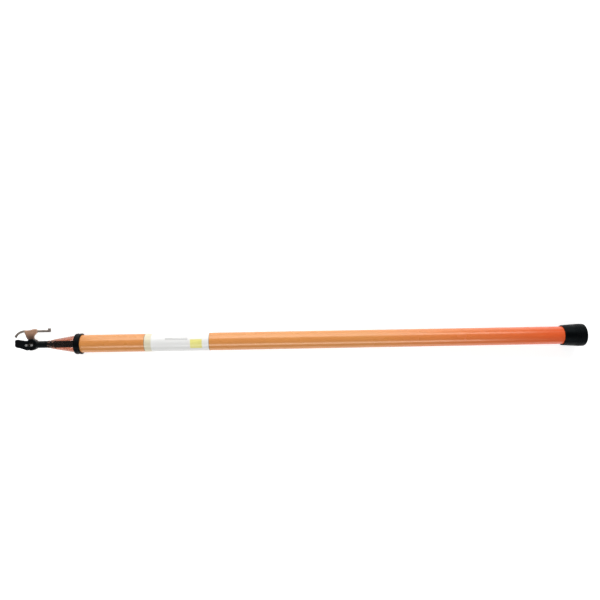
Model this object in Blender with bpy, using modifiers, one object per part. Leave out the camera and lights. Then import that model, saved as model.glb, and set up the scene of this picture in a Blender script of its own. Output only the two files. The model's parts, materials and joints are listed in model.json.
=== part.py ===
"""Telescopic hot stick: a nested five-section insulating pole with a tilting disconnect hook.

The stick lies along X. The origin is the centre of the butt cap's end face, the head points to -X,
the hook rises to +Y and the clamp bolt stands along Z. A station is a distance from the butt end,
so a point at station s lies at x = -s. Lengths are in metres.
"""

import math

import bmesh
import bpy
from mathutils import Matrix

MM = 0.001
FIT = 0.3 * MM  # gap between pieces that seat on each other
SIDES = 32  # facets round the pole, with one flat facing down

# Pole sections
SECTION_COUNT = 5
BASE_TUBE_OD = 50.0 * MM
BASE_TUBE_LENGTH = 1416.0 * MM
TUBE_WALL = 2.0 * MM
SECTION_GAP = 1.75 * MM  # running gap between a section and the one around it
LOCK_HOLE_SETBACK = 100.0 * MM  # lock hole to the open end of its tube

# Butt cap and the bumper inside it
CAP_LENGTH = 62.0 * MM
CAP_FLOOR = 8.0 * MM
CAP_OD = 63.2 * MM
CAP_MOUTH_OD = 57.0 * MM
CAP_STRAIGHT = 14.0 * MM  # straight part, from the end face, before the taper to the mouth
CAP_EDGE_RADIUS = 5.0 * MM
CAP_LIP_RADIUS = 1.5 * MM
CAP_GROOVES = 3
CAP_GROOVE_OFFSET = 3.0 * MM  # first groove's middle from the straight part
CAP_GROOVE_PITCH = 6.0 * MM
CAP_GROOVE_WIDTH = 2.4 * MM
CAP_GROOVE_DEPTH = 0.8 * MM
BUMPER_LENGTH = 12.0 * MM

# Collar on the base tube and end rings in the mouths of the inner sections
COLLAR_OD = 59.0 * MM
COLLAR_LENGTH = 17.0 * MM
COLLAR_LIP = 5.4 * MM
COLLAR_EDGE_RADIUS = 3.0 * MM
RING_LENGTH = 12.0 * MM

# Label wrapped round the base tube
LABEL_LENGTH = 182.0 * MM
LABEL_SETBACK = 190.0 * MM  # label to the open end of the base tube
LABEL_THICKNESS = 0.25 * MM

# Guide plug in the foot of each inner section, with its lock button and spring
PLUG_HEAD_LENGTH = 24.0 * MM
PLUG_SPIGOT_LENGTH = 18.0 * MM
BUTTON_RADIUS = 4.5 * MM
BUTTON_LENGTH = 6.0 * MM
BUTTON_DOME = 1.5 * MM
SPRING_LENGTH = 6.7 * MM
SPRING_RADIUS = 3.3 * MM
SPRING_WIRE_RADIUS = 0.35 * MM
SPRING_TURNS = 4

# Ferrule pinned into the tip tube
FERRULE_RELIEF = 0.2 * MM  # how far the ferrule's side lies below the tip tube's
FERRULE_LENGTH = 92.0 * MM
FERRULE_SPIGOT = 40.0 * MM
FERRULE_PIN_RADIUS = 2.0 * MM
FERRULE_PIN_PITCH = 20.0 * MM
FERRULE_PINS = 2
STUD_RADIUS = 6.0 * MM
STUD_LENGTH = 16.0 * MM
HEAD_PIN_RADIUS = 1.5 * MM

# Amber nose cone on the ferrule
CONE_OD = 47.0 * MM
CONE_LENGTH = 69.0 * MM
CONE_SKIRT = 8.0 * MM  # straight part next to the collar
CONE_SLEEVE = 10.0 * MM  # thin sleeve in front of the cone
CONE_WALL = 1.2 * MM
CONE_NECK_WALL = 3.0 * MM
CONE_NECK_LAND = 8.0 * MM

# Universal head: neck, serrated ear and nose
NECK_LENGTH = 36.5 * MM
EAR_RADIUS = 16.0 * MM
EAR_THICKNESS = 10.0 * MM
NOSE_REACH = 45.9 * MM
NOSE_THICKNESS = 8.0 * MM
TOOTH_COUNT = 24
TOOTH_HEIGHT = 1.2 * MM  # crest to root at the ear's rim
LAP_CLEARANCE = 1.2 * MM

# Disconnect hook
HOOK_EYE_RADIUS = 15.0 * MM
HOOK_EYE_THICKNESS = 8.6 * MM
HOOK_PLATE = 7.0 * MM
HOOK_ROD_RADIUS = 3.4 * MM
PRONG_REACH = 47.6 * MM
PRONG_HEIGHT = 37.4 * MM
SPUR_RADIUS = 4.2 * MM
SPUR_TOP = 45.2 * MM

# Clamp bolt, washer and wing nut
BOLT_RADIUS = 4.0 * MM
BOLT_HEAD_RADIUS = 7.5 * MM
BOLT_HEAD_HEIGHT = 5.0 * MM
BOLT_END_RISE = 8.4 * MM  # bolt end above the washer
WASHER_RADIUS = 8.5 * MM
WASHER_THICKNESS = 1.6 * MM
NUT_RADIUS = 5.9 * MM
NUT_HEIGHT = 7.0 * MM
WING_REACH = 9.8 * MM
WING_HEIGHT = 14.0 * MM
WING_THICKNESS = 5.0 * MM

# Outlines of the castings, in mm from the clamp bolt's axis
NOSE_TOP = [(-7, 8), (-13, 10.8), (-22, 11.8), (-30, 13.2), (-36, 14.3)]
NOSE_BOTTOM = [(-40.6, -7.4), (-33, -8.8), (-27, -10.6), (-21, -12.6), (-15, -14.8), (-10.5, -15.2)]
HOOK_NECK_LEFT = [(-7, 9), (-14, 13), (-18.9, 19.5), (-21.3, 26.5), (-24.1, 32.4), (-23.5, 37.8)]
HOOK_HEAD_TOP = [(-16.5, 40.4), (-8.5, 40.8), (-3, 42.6), (3.5, 43.6), (8.5, 42.4), (11.1, 38)]
HOOK_NECK_RIGHT = [(9.4, 32.8), (5.0, 28.4), (1.4, 24), (0.8, 19), (3.5, 12), (3, 6)]
HOOK_BEND = [(-14, 35.6), (-22, 37.2), (-30.6, 36.8), (-38.7, 34), (-45, 29.8), (-49, 25.4), (-51.4, 21)]

# Colours, roughness and metallic value of each finish
FINISHES = {
    "orange_fibreglass": ((0.86, 0.30, 0.10, 1.0), 0.35, 0.0),
    "amber_plastic": ((0.90, 0.42, 0.20, 1.0), 0.30, 0.0),
    "black_rubber": ((0.02, 0.02, 0.022, 1.0), 0.60, 0.0),
    "black_plastic": ((0.025, 0.025, 0.028, 1.0), 0.45, 0.0),
    "black_metal": ((0.02, 0.02, 0.022, 1.0), 0.40, 0.3),
    "bronze": ((0.45, 0.30, 0.17, 1.0), 0.45, 1.0),
    "steel": ((0.60, 0.60, 0.60, 1.0), 0.35, 1.0),
    "brass": ((0.70, 0.55, 0.25, 1.0), 0.35, 1.0),
    "nylon": ((0.85, 0.84, 0.80, 1.0), 0.50, 0.0),
    "foam": ((0.80, 0.74, 0.50, 1.0), 0.90, 0.0),
    "white_film": ((0.90, 0.90, 0.89, 1.0), 0.45, 0.0),
}

TIP = SECTION_COUNT - 1


def tube_radius(n):
    """Outer radius of section n, counted from 0 at the base."""
    return BASE_TUBE_OD / 2 - n * (TUBE_WALL + SECTION_GAP)


def bore_radius(n):
    return tube_radius(n) - TUBE_WALL


def flat_radius(radius):
    """Distance from the axis to the middle of a facet."""
    return radius * math.cos(math.pi / SIDES)


def section_name(n):
    return "base" if n == 0 else "tip" if n == TIP else f"section_{n + 1}"


def plug_start(n):
    """The plugs stand on one another, the first on the bumper."""
    first = CAP_FLOOR + FIT + BUMPER_LENGTH + FIT
    return first + (n - 1) * (PLUG_HEAD_LENGTH + PLUG_SPIGOT_LENGTH + FIT)


def plug_radius(n):
    return bore_radius(n - 1) - FIT


def tube_start(n):
    return CAP_FLOOR + FIT if n == 0 else plug_start(n) + PLUG_HEAD_LENGTH + FIT


BASE_END = CAP_FLOOR + FIT + BASE_TUBE_LENGTH
COLLAR_FRONT = BASE_END + FIT + COLLAR_LIP
FERRULE_START = BASE_END
FERRULE_END = FERRULE_START + FERRULE_LENGTH
FERRULE_RADIUS = tube_radius(TIP) - FERRULE_RELIEF
EYE_STATION = FERRULE_END + FIT + NECK_LENGTH


def tube_end(n):
    """The inner sections end flush with the collar, and the tip tube at the ferrule's shoulder."""
    if n == 0:
        return BASE_END
    return FERRULE_START - FIT if n == TIP else COLLAR_FRONT


def button_station(n):
    return plug_start(n) + PLUG_HEAD_LENGTH / 2


def lock_hole_station(n):
    return tube_end(n) - LOCK_HOLE_SETBACK


def clear_scene():
    for ob in list(bpy.data.objects):
        bpy.data.objects.remove(ob, do_unlink=True)


def new_collection(name):
    group = bpy.data.collections.new(name)
    bpy.context.scene.collection.children.link(group)
    return group


clear_scene()
PARTS = new_collection("telescopic_hot_stick")
CUTTERS = new_collection("cutters")

STICK_TURN = (0.0, -math.pi / 2, 0.0)  # takes a local +Z to the world's -X


def finish(name):
    """The Principled material of that name, made once."""
    material = bpy.data.materials.get(name)
    if material is None:
        colour, roughness, metallic = FINISHES[name]
        material = bpy.data.materials.new(name)
        material.use_nodes = True
        shader = material.node_tree.nodes["Principled BSDF"]
        shader.inputs["Base Color"].default_value = colour
        shader.inputs["Roughness"].default_value = roughness
        shader.inputs["Metallic"].default_value = metallic
        material.diffuse_color = colour
    return material


def place(name, mesh, material, location=(0, 0, 0), rotation=(0, 0, 0)):
    """A new part, or a cutter where no material is given."""
    ob = bpy.data.objects.new(name, mesh)
    ob.location = location
    ob.rotation_euler = rotation
    if material is None:
        CUTTERS.objects.link(ob)
        ob.hide_render = True
        ob.display_type = "WIRE"
    else:
        PARTS.objects.link(ob)
        mesh.materials.append(finish(material))
    return ob


def arc(station, radius, size, start, end, steps=4):
    """Points of a round edge on a profile, with its centre at (station, radius)."""
    angles = [math.radians(start + (end - start) * i / steps) for i in range(steps + 1)]
    return [(station + size * math.cos(a), radius + size * math.sin(a)) for a in angles]


def turned(name, profile, material, closed=False, sides=SIDES, along_stick=True, location=(0, 0, 0)):
    """A turned piece. The profile is (height, radius) pairs that run down its outer side."""
    phase = math.pi / sides
    verts = [(r * math.cos(phase), r * math.sin(phase), h) for h, r in profile]
    edges = [(i, i + 1) for i in range(len(verts) - 1)]
    if closed:
        edges.append((len(verts) - 1, 0))
    mesh = bpy.data.meshes.new(name)
    mesh.from_pydata(verts, edges, [])
    ob = place(name, mesh, material, location, STICK_TURN if along_stick else (0, 0, 0))
    screw = ob.modifiers.new("turn", "SCREW")
    screw.steps = screw.render_steps = sides
    screw.use_merge_vertices = True
    screw.merge_threshold = 0.00001
    screw.use_smooth_shade = True
    return ob


def tube_profile(low, high, inner, outer):
    return [(high, outer), (low, outer), (low, inner), (high, inner)]


def rod_profile(low, high, radius):
    return [(high, 0), (high, radius), (low, radius), (low, 0)]


def cylinder(name, radius, low, high, material=None, axis="Z", centre=(0, 0, 0), sides=24):
    """A cylinder whose ends lie at low and high along the axis through centre."""
    mesh = bpy.data.meshes.new(name)
    bm = bmesh.new()
    quarter_step = Matrix.Rotation(math.pi / (2 * sides), 4, "Z")
    lift = Matrix.Translation((0, 0, (low + high) / 2)) @ quarter_step
    bmesh.ops.create_cone(
        bm, cap_ends=True, segments=sides, radius1=radius, radius2=radius, depth=high - low, matrix=lift
    )
    bm.to_mesh(mesh)
    bm.free()
    turn = {"Z": (0, 0, 0), "Y": (-math.pi / 2, 0, 0), "X": (0, math.pi / 2, 0)}[axis]
    return place(name, mesh, material, centre, turn)


def combine(ob, other, operation):
    boolean = ob.modifiers.new(other.name, "BOOLEAN")
    boolean.operation = operation
    boolean.solver = "EXACT"
    boolean.object = other


def cut(ob, *cutters):
    for cutter in cutters:
        combine(ob, cutter, "DIFFERENCE")


def fuse(ob, *shapes):
    for shape in shapes:
        combine(ob, shape, "UNION")


def curve_mesh(name, curve, matrix, material=None):
    """The closed mesh of a curve, with its loose caps welded on."""
    source = bpy.data.objects.new(name + "_curve", curve)
    PARTS.objects.link(source)
    bpy.context.view_layer.update()
    graph = bpy.context.evaluated_depsgraph_get()
    mesh = bpy.data.meshes.new_from_object(source.evaluated_get(graph))
    bpy.data.objects.remove(source, do_unlink=True)
    bm = bmesh.new()
    bm.from_mesh(mesh)
    bmesh.ops.remove_doubles(bm, verts=bm.verts, dist=0.00001)
    bmesh.ops.recalc_face_normals(bm, faces=bm.faces)
    bm.to_mesh(mesh)
    bm.free()
    mesh.materials.clear()
    ob = place(name, mesh, material)
    ob.matrix_world = matrix
    return ob


def smooth_spline(curve, points, closed):
    """A Bezier spline through the points, with automatic handles."""
    spline = curve.splines.new("BEZIER")
    spline.bezier_points.add(len(points) - 1)
    for knot, co in zip(spline.bezier_points, points):
        knot.co = co
        knot.handle_left_type = knot.handle_right_type = "AUTO"
    spline.use_cyclic_u = closed
    return spline


def outline(name, points, thickness, matrix, material=None, resolution=5):
    """A flat plate with a smooth outline through the points, centred on its own plane."""
    curve = bpy.data.curves.new(name, "CURVE")
    curve.dimensions = "2D"
    curve.fill_mode = "BOTH"
    curve.extrude = thickness / 2
    curve.resolution_u = resolution
    smooth_spline(curve, [(x, y, 0) for x, y in points], True)
    return curve_mesh(name, curve, matrix, material)


def rod(name, points, radius, matrix, material=None, resolution=5):
    """A round bar bent through the points."""
    curve = bpy.data.curves.new(name, "CURVE")
    curve.dimensions = "3D"
    curve.bevel_depth = radius
    curve.bevel_resolution = 3
    curve.use_fill_caps = True
    curve.resolution_u = resolution
    smooth_spline(curve, points, False)
    return curve_mesh(name, curve, matrix, material)


def make_tubes():
    for n in range(SECTION_COUNT):
        profile = tube_profile(tube_start(n), tube_end(n), bore_radius(n), tube_radius(n))
        tube = turned(f"{section_name(n)}_tube", profile, "orange_fibreglass", closed=True)
        if n == TIP:
            cut(tube, *ferrule_pin_cutters())
        else:
            reach = (tube_radius(n) + FIT, bore_radius(n) / 2)
            spot = (-lock_hole_station(n), 0, 0)
            name = f"{section_name(n)}_lock_hole"
            cut(tube, cylinder(name, BUTTON_RADIUS + FIT, -reach[0], -reach[1], centre=spot))


def cap_radius(station):
    share = max(0.0, station - CAP_STRAIGHT) / (CAP_LENGTH - CAP_STRAIGHT)
    return (CAP_OD + (CAP_MOUTH_OD - CAP_OD) * share) / 2


def make_butt_cap():
    bore = tube_radius(0) + FIT
    end, mouth = CAP_OD / 2, CAP_MOUTH_OD / 2
    profile = [(CAP_FLOOR, 0), (CAP_FLOOR, bore), (CAP_LENGTH, bore)]
    profile += arc(CAP_LENGTH - CAP_LIP_RADIUS, mouth - CAP_LIP_RADIUS, CAP_LIP_RADIUS, 0, 90, 3)
    half, floor = CAP_GROOVE_WIDTH / 2, CAP_GROOVE_WIDTH / 4
    for i in reversed(range(CAP_GROOVES)):
        middle = CAP_STRAIGHT + CAP_GROOVE_OFFSET + i * CAP_GROOVE_PITCH
        deep = cap_radius(middle) - CAP_GROOVE_DEPTH
        profile += [(middle + half, cap_radius(middle + half)), (middle + floor, deep)]
        profile += [(middle - floor, deep), (middle - half, cap_radius(middle - half))]
    profile.append((CAP_STRAIGHT, end))
    profile += arc(CAP_EDGE_RADIUS, end - CAP_EDGE_RADIUS, CAP_EDGE_RADIUS, 90, 180)
    profile.append((0, 0))
    turned("butt_cap", profile, "black_rubber")


def make_bumper():
    low = CAP_FLOOR + FIT
    turned("butt_bumper", rod_profile(low, low + BUMPER_LENGTH, bore_radius(0) - FIT), "black_rubber")


def make_collar():
    outer, edge = COLLAR_OD / 2, COLLAR_EDGE_RADIUS
    sleeve, lip = tube_radius(0) + FIT, tube_radius(1) + FIT
    back = COLLAR_FRONT - COLLAR_LENGTH
    profile = arc(COLLAR_FRONT - edge, outer - edge, edge, 0, 90)
    profile += arc(back + edge / 2, outer - edge / 2, edge / 2, 90, 180, 3)
    profile += [(back, sleeve), (BASE_END + FIT, sleeve), (BASE_END + FIT, lip), (COLLAR_FRONT, lip)]
    turned("base_collar", profile, "black_rubber", closed=True)


def make_label():
    inner, high = tube_radius(0) + FIT, BASE_END - LABEL_SETBACK
    profile = tube_profile(high - LABEL_LENGTH, high, inner, inner + LABEL_THICKNESS)
    turned("label_wrap", profile, "white_film", closed=True)


def make_end_rings():
    """Each ring lines the mouth of its section and wipes the next section clean."""
    for n in range(1, TIP):
        inner, outer = tube_radius(n + 1) + FIT, bore_radius(n) - FIT
        profile = tube_profile(tube_end(n) - RING_LENGTH, tube_end(n), inner, outer)
        turned(f"{section_name(n)}_end_ring", profile, "black_plastic", closed=True)


def make_guide_plugs():
    for n in range(1, SECTION_COUNT):
        low = plug_start(n)
        step, high = low + PLUG_HEAD_LENGTH, low + PLUG_HEAD_LENGTH + PLUG_SPIGOT_LENGTH
        wide, slim = plug_radius(n), bore_radius(n) - FIT
        chamfer = SECTION_GAP / 2
        profile = [(high, 0), (high, slim - chamfer), (high - chamfer, slim), (step, slim), (step, wide)]
        profile += [(low + chamfer, wide), (low, wide - chamfer), (low, 0)]
        plug = turned(f"{section_name(n)}_guide_plug", profile, "nylon")
        spot = (-button_station(n), 0, 0)
        outside = -flat_radius(wide)
        floor = outside + BUTTON_LENGTH + SPRING_LENGTH
        name = f"{section_name(n)}_button_bore"
        cut(plug, cylinder(name, BUTTON_RADIUS + FIT, outside - SECTION_GAP, floor, centre=spot))


def make_buttons():
    """Each button faces down, with its domed end just inside the wall of the tube around it."""
    for n in range(1, SECTION_COUNT):
        outside = -flat_radius(plug_radius(n))
        base = outside + BUTTON_LENGTH
        shoulder = outside + BUTTON_DOME
        steps = [math.radians(30 * i) for i in range(4)]
        dome = [(shoulder - BUTTON_DOME * math.sin(a), BUTTON_RADIUS * math.cos(a)) for a in steps]
        profile = [(base, 0), (base, BUTTON_RADIUS)] + dome[:-1] + [(outside, 0)]
        spot = (-button_station(n), 0, 0)
        name = f"{section_name(n)}_lock_button"
        turned(name, profile, "brass", sides=20, along_stick=False, location=spot)


def make_button_springs():
    """A coil between each button and the floor of its bore, with flat end turns."""
    per_turn = 8
    for n in range(1, SECTION_COUNT):
        low = -flat_radius(plug_radius(n)) + BUTTON_LENGTH + FIT + SPRING_WIRE_RADIUS
        high = low + SPRING_LENGTH - 2 * FIT - 2 * SPRING_WIRE_RADIUS
        curve = bpy.data.curves.new(f"{section_name(n)}_coil", "CURVE")
        curve.dimensions = "3D"
        curve.bevel_depth = SPRING_WIRE_RADIUS
        curve.bevel_resolution = 1
        curve.use_fill_caps = True
        spline = curve.splines.new("POLY")
        total = per_turn * SPRING_TURNS
        spline.points.add(total)
        for i, point in enumerate(spline.points):
            angle = 2 * math.pi * i / per_turn
            height = low + (high - low) * i / total
            across, up = SPRING_RADIUS * math.cos(angle), SPRING_RADIUS * math.sin(angle)
            point.co = (across, up, height, 1)
        spot = Matrix.Translation((-button_station(n), 0, 0))
        curve_mesh(f"{section_name(n)}_button_spring", curve, spot, "steel")


def ferrule_pin_stations():
    first = FERRULE_START - FERRULE_SPIGOT / 2 - FERRULE_PIN_PITCH * (FERRULE_PINS - 1) / 2
    return [first + i * FERRULE_PIN_PITCH for i in range(FERRULE_PINS)]


def ferrule_pin_cutters():
    """Holes for the pins that hold the ferrule's spigot in the tip tube."""
    reach = tube_radius(TIP) + FIT
    return [
        cylinder(f"ferrule_pin_hole_{i}", FERRULE_PIN_RADIUS + FIT, -reach, reach, centre=(-s, 0, 0))
        for i, s in enumerate(ferrule_pin_stations(), 1)
    ]


def make_tip_core():
    """Foam that fills the tip tube between its guide plug and the ferrule."""
    low = plug_start(TIP) + PLUG_HEAD_LENGTH + PLUG_SPIGOT_LENGTH + FIT
    high = FERRULE_START - FERRULE_SPIGOT - FIT
    turned("tip_foam_core", rod_profile(low, high, bore_radius(TIP) - FIT), "foam")


def head_pin_station():
    return FERRULE_END - STUD_LENGTH / 2


def head_pin_cutter(name):
    spot = (-head_pin_station(), 0, 0)
    reach = FERRULE_RADIUS + FIT
    return cylinder(name, HEAD_PIN_RADIUS + FIT, -reach, reach, axis="Y", centre=spot, sides=16)


def make_ferrule():
    well, spigot = STUD_RADIUS + FIT, bore_radius(TIP) - FIT
    floor, foot = FERRULE_END - STUD_LENGTH - FIT, FERRULE_START - FERRULE_SPIGOT
    profile = [(floor, 0), (floor, well), (FERRULE_END, well), (FERRULE_END, FERRULE_RADIUS)]
    profile += [(FERRULE_START, FERRULE_RADIUS), (FERRULE_START, spigot), (foot, spigot), (foot, 0)]
    ferrule = turned("head_ferrule", profile, "black_metal")
    cut(ferrule, *ferrule_pin_cutters(), head_pin_cutter("ferrule_cross_hole"))


def make_pins():
    reach = flat_radius(tube_radius(TIP)) - FIT
    for i, station in enumerate(ferrule_pin_stations(), 1):
        spot = (-station, 0, 0)
        cylinder(f"ferrule_pin_{i}", FERRULE_PIN_RADIUS, -reach, reach, "steel", centre=spot)
    spot = (-head_pin_station(), 0, 0)
    reach = flat_radius(FERRULE_RADIUS) - FIT
    cylinder("head_pin", HEAD_PIN_RADIUS, -reach, reach, "steel", "Y", spot, sides=16)


def make_nose_cone():
    """A thin amber cone, seated on the collar and gripped on the ferrule by its thick neck."""
    back = COLLAR_FRONT + FIT
    front, knee = back + CONE_LENGTH, back + CONE_SKIRT
    sleeve = front + CONE_SLEEVE
    wide = CONE_OD / 2
    grip = FERRULE_RADIUS + FIT
    slim = grip + CONE_NECK_WALL
    land = front - CONE_NECK_LAND
    at_land = slim + (wide - slim) * CONE_NECK_LAND / (CONE_LENGTH - CONE_SKIRT)
    edge = CONE_NECK_WALL / 3
    profile = [(sleeve, grip + CONE_WALL), (front, grip + CONE_WALL), (front, slim - edge)]
    profile += [(front - edge, slim), (knee, wide), (back, wide)]
    profile += [(back, wide - CONE_WALL), (knee, wide - CONE_WALL)]
    profile += [(land, at_land - CONE_WALL), (land, grip), (sleeve, grip)]
    turned("nose_cone", profile, "amber_plastic", closed=True)


def eye_matrix(z=0.0):
    return Matrix.Translation((-EYE_STATION, 0, z))


def serrated_disc(name, radius, low, high, teeth_down, material=None):
    """A disc whose one face is pleated into radial teeth that rise from its centre to its rim."""
    segments = 2 * TOOTH_COUNT
    mesh = bpy.data.meshes.new(name)
    bm = bmesh.new()
    lift = Matrix.Translation((0, 0, (low + high) / 2))
    bmesh.ops.create_cone(
        bm,
        cap_ends=True,
        cap_tris=True,
        segments=segments,
        radius1=radius,
        radius2=radius,
        depth=high - low,
        matrix=lift,
    )
    crest = TOOTH_HEIGHT / 2 * radius / EAR_RADIUS
    face = low if teeth_down else high
    for vert in bm.verts:
        on_rim = vert.co.xy.length > radius / 2
        if on_rim and abs(vert.co.z - face) < FIT:
            step = round(math.atan2(vert.co.y, vert.co.x) / (2 * math.pi) * segments)
            vert.co.z += crest if step % 2 == 0 else -crest
    bm.to_mesh(mesh)
    bm.free()
    return place(name, mesh, material, (-EYE_STATION, 0, 0))


def nose_outline():
    """The nose in front of the ear, which bends a little up to the hook's side."""
    tip = -NOSE_REACH
    front = [(tip + 3.2 * MM, 14.8 * MM), (tip + 0.4 * MM, 12.2 * MM), (tip, 4.5 * MM)]
    return in_metres(NOSE_TOP) + front + [(tip + 0.6 * MM, -4.0 * MM)] + in_metres(NOSE_BOTTOM)


def in_metres(points):
    return [(x * MM, y * MM) for x, y in points]


def make_universal_head():
    low, high = FERRULE_END + FIT, EYE_STATION - EAR_RADIUS / 2
    profile = [(high, 0), (high, FERRULE_RADIUS), (low, FERRULE_RADIUS), (low, STUD_RADIUS)]
    profile += [(FERRULE_END - STUD_LENGTH, STUD_RADIUS), (FERRULE_END - STUD_LENGTH, 0)]
    head = turned("universal_head", profile, "black_metal")
    centre = (-EYE_STATION, 0, 0)
    lap_radius = EAR_RADIUS + LAP_CLEARANCE
    lap = cylinder("head_lap", lap_radius, -EAR_RADIUS, LAP_CLEARANCE, centre=centre, sides=48)
    cut(head, lap, head_pin_cutter("stud_cross_hole"))
    ear = serrated_disc("head_ear", EAR_RADIUS, FIT / 2, EAR_THICKNESS, teeth_down=True)
    cut(ear, bolt_hole("ear_bolt_hole"))
    middle = LAP_CLEARANCE + FIT + NOSE_THICKNESS / 2
    nose = outline("head_nose", nose_outline(), NOSE_THICKNESS, eye_matrix(middle))
    fuse(head, ear, nose)


def bolt_hole(name):
    reach = 2 * EAR_RADIUS
    return cylinder(name, BOLT_RADIUS + FIT, -reach, reach, centre=(-EYE_STATION, 0, 0))


def make_disconnect_hook():
    middle = -LAP_CLEARANCE - HOOK_PLATE / 2
    eye = serrated_disc("disconnect_hook", HOOK_EYE_RADIUS, -HOOK_EYE_THICKNESS, -FIT / 2, False, "bronze")
    cut(eye, bolt_hole("hook_bolt_hole"))
    neck = in_metres(HOOK_NECK_LEFT + HOOK_HEAD_TOP + HOOK_NECK_RIGHT)
    plate = outline("hook_plate", neck, HOOK_PLATE, eye_matrix(middle))
    bend = [(x, y, 0) for x, y in in_metres(HOOK_BEND)]
    hook = rod("hook_bend", bend, HOOK_ROD_RADIUS, eye_matrix(middle))
    prong_line = [(EAR_RADIUS / 4, PRONG_HEIGHT, 0), (PRONG_REACH, PRONG_HEIGHT, 0)]
    prong = rod("hook_prong", prong_line, HOOK_ROD_RADIUS, eye_matrix(middle), resolution=1)
    inset = PRONG_REACH - SPUR_RADIUS + HOOK_ROD_RADIUS / 2
    spur_line = [(inset, PRONG_HEIGHT - HOOK_ROD_RADIUS / 2, 0), (inset, SPUR_TOP, 0)]
    spur = rod("hook_spur", spur_line, SPUR_RADIUS, eye_matrix(middle), resolution=1)
    fuse(eye, plate, hook, prong, spur)


def make_clamp():
    """Bolt from below, washer and a tall wing nut on the ear's outer face."""
    under = -HOOK_EYE_THICKNESS - FIT
    seat = EAR_THICKNESS + FIT
    nut_seat = seat + WASHER_THICKNESS + FIT
    bolt_end = seat + WASHER_THICKNESS + BOLT_END_RISE
    centre = (-EYE_STATION, 0, 0)
    head = under - BOLT_HEAD_HEIGHT
    bolt = cylinder("clamp_bolt", BOLT_HEAD_RADIUS, head, under, "black_metal", "Z", centre, 6)
    fuse(bolt, cylinder("bolt_shank", BOLT_RADIUS, under - BOLT_HEAD_HEIGHT / 2, bolt_end, centre=centre))

    ring = tube_profile(seat, seat + WASHER_THICKNESS, BOLT_RADIUS + FIT, WASHER_RADIUS)
    turned("washer", ring, "black_metal", closed=True, along_stick=False, location=centre)

    top = nut_seat + NUT_HEIGHT
    shoulder = nut_seat + NUT_HEIGHT / 4
    hub = [(top, 0), (top, NUT_RADIUS * 0.8), (shoulder, NUT_RADIUS), (nut_seat, NUT_RADIUS), (nut_seat, 0)]
    nut = turned("wing_nut", hub, "steel", sides=24, along_stick=False, location=centre)
    wing_top = nut_seat + WING_HEIGHT
    reach = WING_REACH
    wing = [(NUT_RADIUS / 2, shoulder), (reach * 0.7, shoulder + 0.8 * MM)]
    wing += [(reach * 0.95, shoulder + 4 * MM), (reach, wing_top - 1.5 * MM)]
    wing += [(reach * 0.8, wing_top), (reach * 0.55, wing_top - 1.2 * MM)]
    wing.append((NUT_RADIUS / 2, top - 1.0 * MM))
    for i, turn in enumerate((0, math.pi), 1):
        upright = Matrix.Rotation(turn, 4, "Z") @ Matrix.Rotation(math.pi / 2, 4, "X")
        fuse(nut, outline(f"wing_{i}", wing, WING_THICKNESS, eye_matrix() @ upright, resolution=3))
    cut(nut, cylinder("nut_bore", BOLT_RADIUS + FIT, 0, 2 * wing_top, centre=centre))


def build():
    make_tubes()
    make_butt_cap()
    make_bumper()
    make_collar()
    make_label()
    make_end_rings()
    make_guide_plugs()
    make_buttons()
    make_button_springs()
    make_tip_core()
    make_ferrule()
    make_pins()
    make_nose_cone()
    make_universal_head()
    make_disconnect_hook()
    make_clamp()


build()
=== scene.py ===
"""Looks of the telescopic hot stick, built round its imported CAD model.

The frame is the CAD's own: metres, the stick along X with its head towards -X, the clamp bolt along Z.
A station is a distance from the butt end, so a point at station s lies at x = -s.
"""

import json
import math

import bmesh
import bpy
from mathutils import Matrix, Vector

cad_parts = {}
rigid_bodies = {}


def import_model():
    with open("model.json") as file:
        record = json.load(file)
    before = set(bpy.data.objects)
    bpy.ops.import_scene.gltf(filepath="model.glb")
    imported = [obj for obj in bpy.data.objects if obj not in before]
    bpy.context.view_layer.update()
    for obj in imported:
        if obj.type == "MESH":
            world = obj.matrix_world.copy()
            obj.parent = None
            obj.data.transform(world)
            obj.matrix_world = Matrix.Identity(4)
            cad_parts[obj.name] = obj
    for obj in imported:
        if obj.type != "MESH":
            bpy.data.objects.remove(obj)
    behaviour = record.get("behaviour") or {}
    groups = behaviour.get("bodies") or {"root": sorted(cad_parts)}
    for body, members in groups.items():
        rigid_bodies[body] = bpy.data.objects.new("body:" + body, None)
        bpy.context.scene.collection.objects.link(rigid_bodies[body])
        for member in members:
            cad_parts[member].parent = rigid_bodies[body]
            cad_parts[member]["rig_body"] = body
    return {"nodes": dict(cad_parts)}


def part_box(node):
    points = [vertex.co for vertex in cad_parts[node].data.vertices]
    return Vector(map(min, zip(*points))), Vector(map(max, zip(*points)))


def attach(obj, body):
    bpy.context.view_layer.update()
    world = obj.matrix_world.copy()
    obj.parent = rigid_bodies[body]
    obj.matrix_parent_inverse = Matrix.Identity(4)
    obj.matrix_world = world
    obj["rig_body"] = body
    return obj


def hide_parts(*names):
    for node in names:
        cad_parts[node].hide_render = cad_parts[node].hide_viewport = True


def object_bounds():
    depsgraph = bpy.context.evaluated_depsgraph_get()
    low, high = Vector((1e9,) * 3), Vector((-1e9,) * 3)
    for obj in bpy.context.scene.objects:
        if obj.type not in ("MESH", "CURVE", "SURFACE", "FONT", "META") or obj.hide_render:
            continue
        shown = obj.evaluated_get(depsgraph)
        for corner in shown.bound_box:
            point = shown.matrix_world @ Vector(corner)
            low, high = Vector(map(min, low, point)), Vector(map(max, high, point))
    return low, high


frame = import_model()
CAD_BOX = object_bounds()

MM = 0.001
SIDES = 128  # facets round the pole's turned pieces
RING_SIDES = 96  # round the washer and the ear's rim
SMALL_SIDES = 64  # round pins, buttons and the bolt
DRILL_SIDES = 48
SHARP = math.radians(34)  # an edge that turns further stays sharp

SECTIONS = ("base", "section_2", "section_3", "section_4", "tip")


# Sizes read from the frame


def stations(node):
    """First and last station of a CAD node."""
    low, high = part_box(node)
    return -high.x, -low.x


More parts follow.
